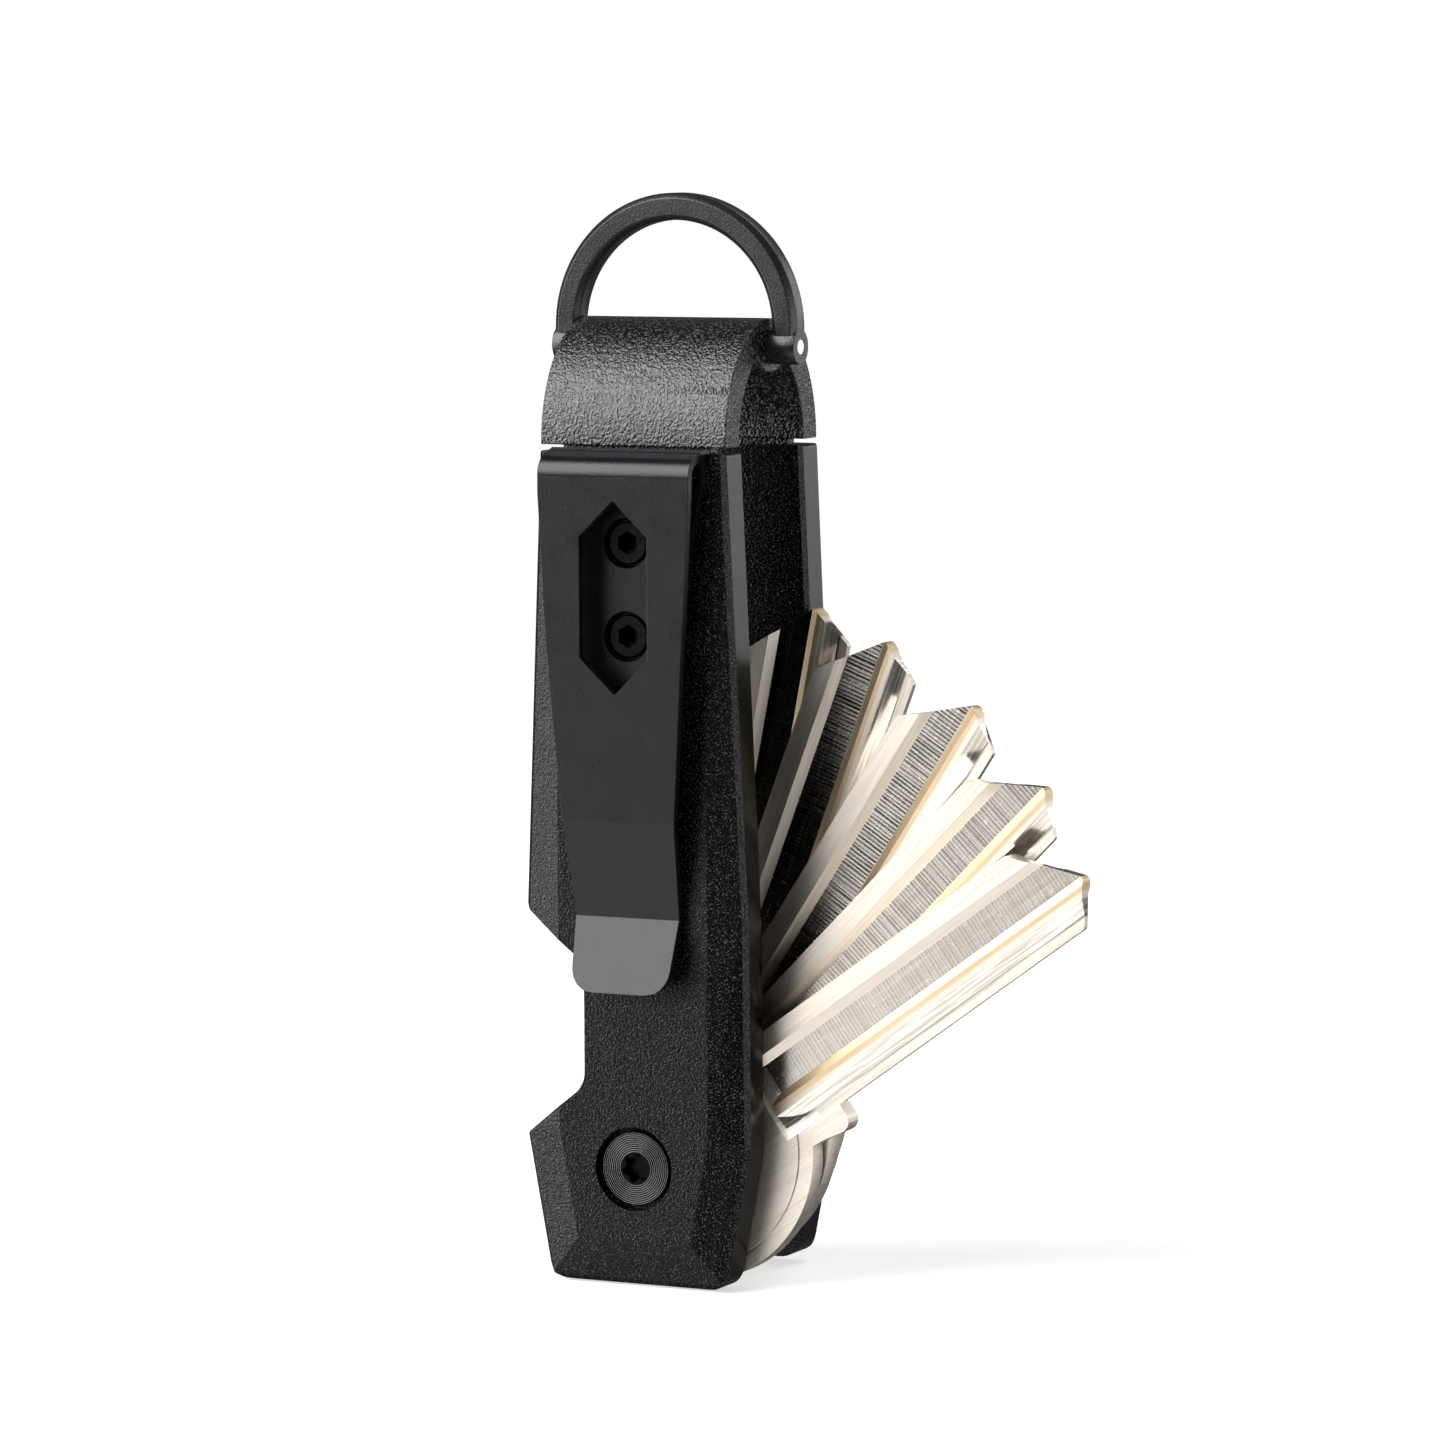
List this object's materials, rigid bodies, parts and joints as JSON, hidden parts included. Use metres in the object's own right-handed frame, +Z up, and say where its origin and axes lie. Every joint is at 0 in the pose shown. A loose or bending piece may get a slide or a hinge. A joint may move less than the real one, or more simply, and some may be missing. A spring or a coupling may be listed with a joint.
{
  "type": "key organiser",
  "caption": "Slim key organiser: keys fan out on a post between two faceted plates, with a pocket clip, a bottle-opener notch and a D-ring on a formed loop bracket.",
  "frame": {"origin": "middle of the gap under the pocket clip's fold, on the middle plane, where the hem of a pocket sits", "axes": "+X across the plates to the side the keys fan out on, +Y from the clip to the rear plate, +Z up to the D-ring"},
  "size_m": [0.0507, 0.0222, 0.0921],
  "materials": {
    "plate": "black anodised, finely bead-blasted",
    "bracket": "black, coarse powder texture",
    "ring": "satin black coated steel",
    "pin": "plain steel",
    "clip": "smooth satin black spring steel",
    "screw": "black oxide",
    "post": "turned steel",
    "washer": "thin steel shim",
    "key": "nickel-plated brass, milled"
  },
  "bodies": {
    "frame": {"front_plate": "plate", "rear_plate": "plate", "loop_bracket": "bracket", "pocket_clip_base": "clip", "clip_screw_upper": "screw", "clip_screw_lower": "screw", "rear_screw_upper": "screw", "rear_screw_lower": "screw", "pivot_post": "post", "front_pivot_screw": "screw", "rear_pivot_screw": "screw", "key_washer_1": "washer", "key_washer_2": "washer", "key_washer_3": "washer", "key_washer_4": "washer", "key_washer_5": "washer", "key_washer_6": "washer"},
    "ring": {"d_ring": "ring", "ring_pin": "pin"},
    "clip_leaf": {"pocket_clip_leaf": "clip"},
    "key_a": {"key_1": "key"},
    "key_b": {"key_2": "key"},
    "key_c": {"key_3": "key"},
    "key_d": {"key_4": "key"},
    "key_e": {"key_5": "key"}
  },
  "joints": [
    {"name": "ring_swing", "type": "hinge", "parent": "frame", "child": "ring", "pos_m": [0, 0.01112, 0.0108], "axis": [1, 0, 0], "range_deg": [-55, 55]},
    {"name": "clip_flex", "type": "hinge", "parent": "frame", "child": "clip_leaf", "pos_m": [0, 0.00067, 0.002], "axis": [-1, 0, 0], "range_deg": [0, 4], "stiffness_Nm_per_rad": 1, "springref_deg": -1.72},
    {"name": "key_1_turn", "type": "hinge", "parent": "frame", "child": "key_a", "pos_m": [0, 0.0066, -0.0584], "axis": [0, 1, 0], "continuous": true},
    {"name": "key_2_turn", "type": "hinge", "parent": "frame", "child": "key_b", "pos_m": [0, 0.0089, -0.0584], "axis": [0, 1, 0], "continuous": true},
    {"name": "key_3_turn", "type": "hinge", "parent": "frame", "child": "key_c", "pos_m": [0, 0.0111, -0.0584], "axis": [0, 1, 0], "continuous": true},
    {"name": "key_4_turn", "type": "hinge", "parent": "frame", "child": "key_d", "pos_m": [0, 0.0134, -0.0584], "axis": [0, 1, 0], "continuous": true},
    {"name": "key_5_turn", "type": "hinge", "parent": "frame", "child": "key_e", "pos_m": [0, 0.0156, -0.0584], "axis": [0, 1, 0], "continuous": true}
  ]
}
